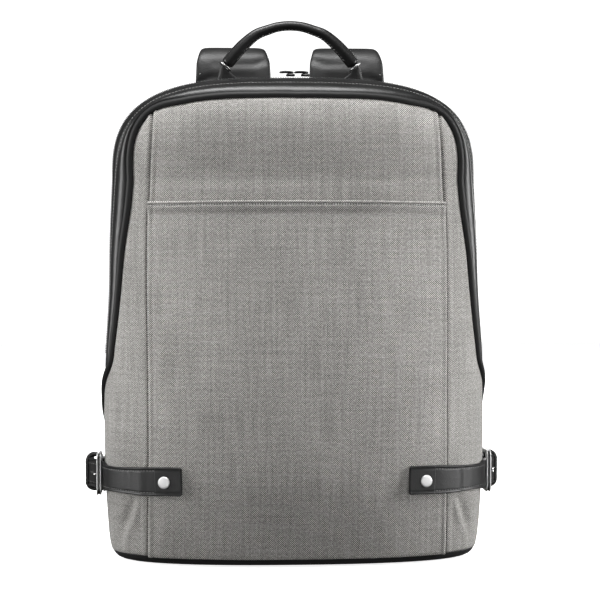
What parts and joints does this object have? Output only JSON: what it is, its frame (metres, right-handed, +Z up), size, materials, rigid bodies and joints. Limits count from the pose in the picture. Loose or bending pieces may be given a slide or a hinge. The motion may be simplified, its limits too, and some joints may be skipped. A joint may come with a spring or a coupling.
{
  "type": "laptop backpack",
  "caption": "Slim laptop backpack with a woven cloth front, leather gussets, rolled carry handle, padded shoulder straps and buckled side straps.",
  "frame": {"origin": "middle of the base underside, where the bag rests", "axes": "+Z up, +X to the right seen from the front, the cloth front faces -Y and the shoulder straps +Y"},
  "size_m": [0.3692, 0.2162, 0.4716],
  "materials": {
    "cloth": "grey herringbone woven cloth",
    "leather": "smooth black leather, satin",
    "grain_leather": "fine grained black leather, matte",
    "back_mesh": "black spacer mesh, padded",
    "webbing": "black woven webbing and zip tape",
    "base_leather": "black leather, slightly grained",
    "polished_metal": "polished silver plating",
    "dark_metal": "black lacquered metal",
    "plastic": "black moulded plastic"
  },
  "bodies": {
    "root": {"front_panel": "cloth", "front_pocket": "cloth", "front_piping": "leather", "front_gusset": "leather", "zip_tape": "webbing", "zip_teeth": "dark_metal", "rear_gusset": "leather", "back_panel": "back_mesh", "base": "base_leather", "handle_roll": "leather", "zip_slider_left": "dark_metal", "zip_puller_left": "dark_metal", "side_panel_left": "cloth", "side_strap_left": "leather", "rear_strap_left": "leather", "snap_left": "polished_metal", "buckle_left": "polished_metal", "prong_left": "polished_metal", "keeper_left": "leather", "handle_ring_left": "polished_metal", "handle_tab_left": "grain_leather", "shoulder_strap_left": "leather", "strap_adjuster_left": "plastic", "strap_webbing_left": "webbing", "strap_anchor_left": "leather", "zip_slider_right": "dark_metal", "zip_puller_right": "dark_metal", "side_panel_right": "cloth", "side_strap_right": "leather", "rear_strap_right": "leather", "snap_right": "polished_metal", "buckle_right": "polished_metal", "prong_right": "polished_metal", "keeper_right": "leather", "handle_ring_right": "polished_metal", "handle_tab_right": "grain_leather", "shoulder_strap_right": "leather", "strap_adjuster_right": "plastic", "strap_webbing_right": "webbing", "strap_anchor_right": "leather"}
  },
  "joints": []
}
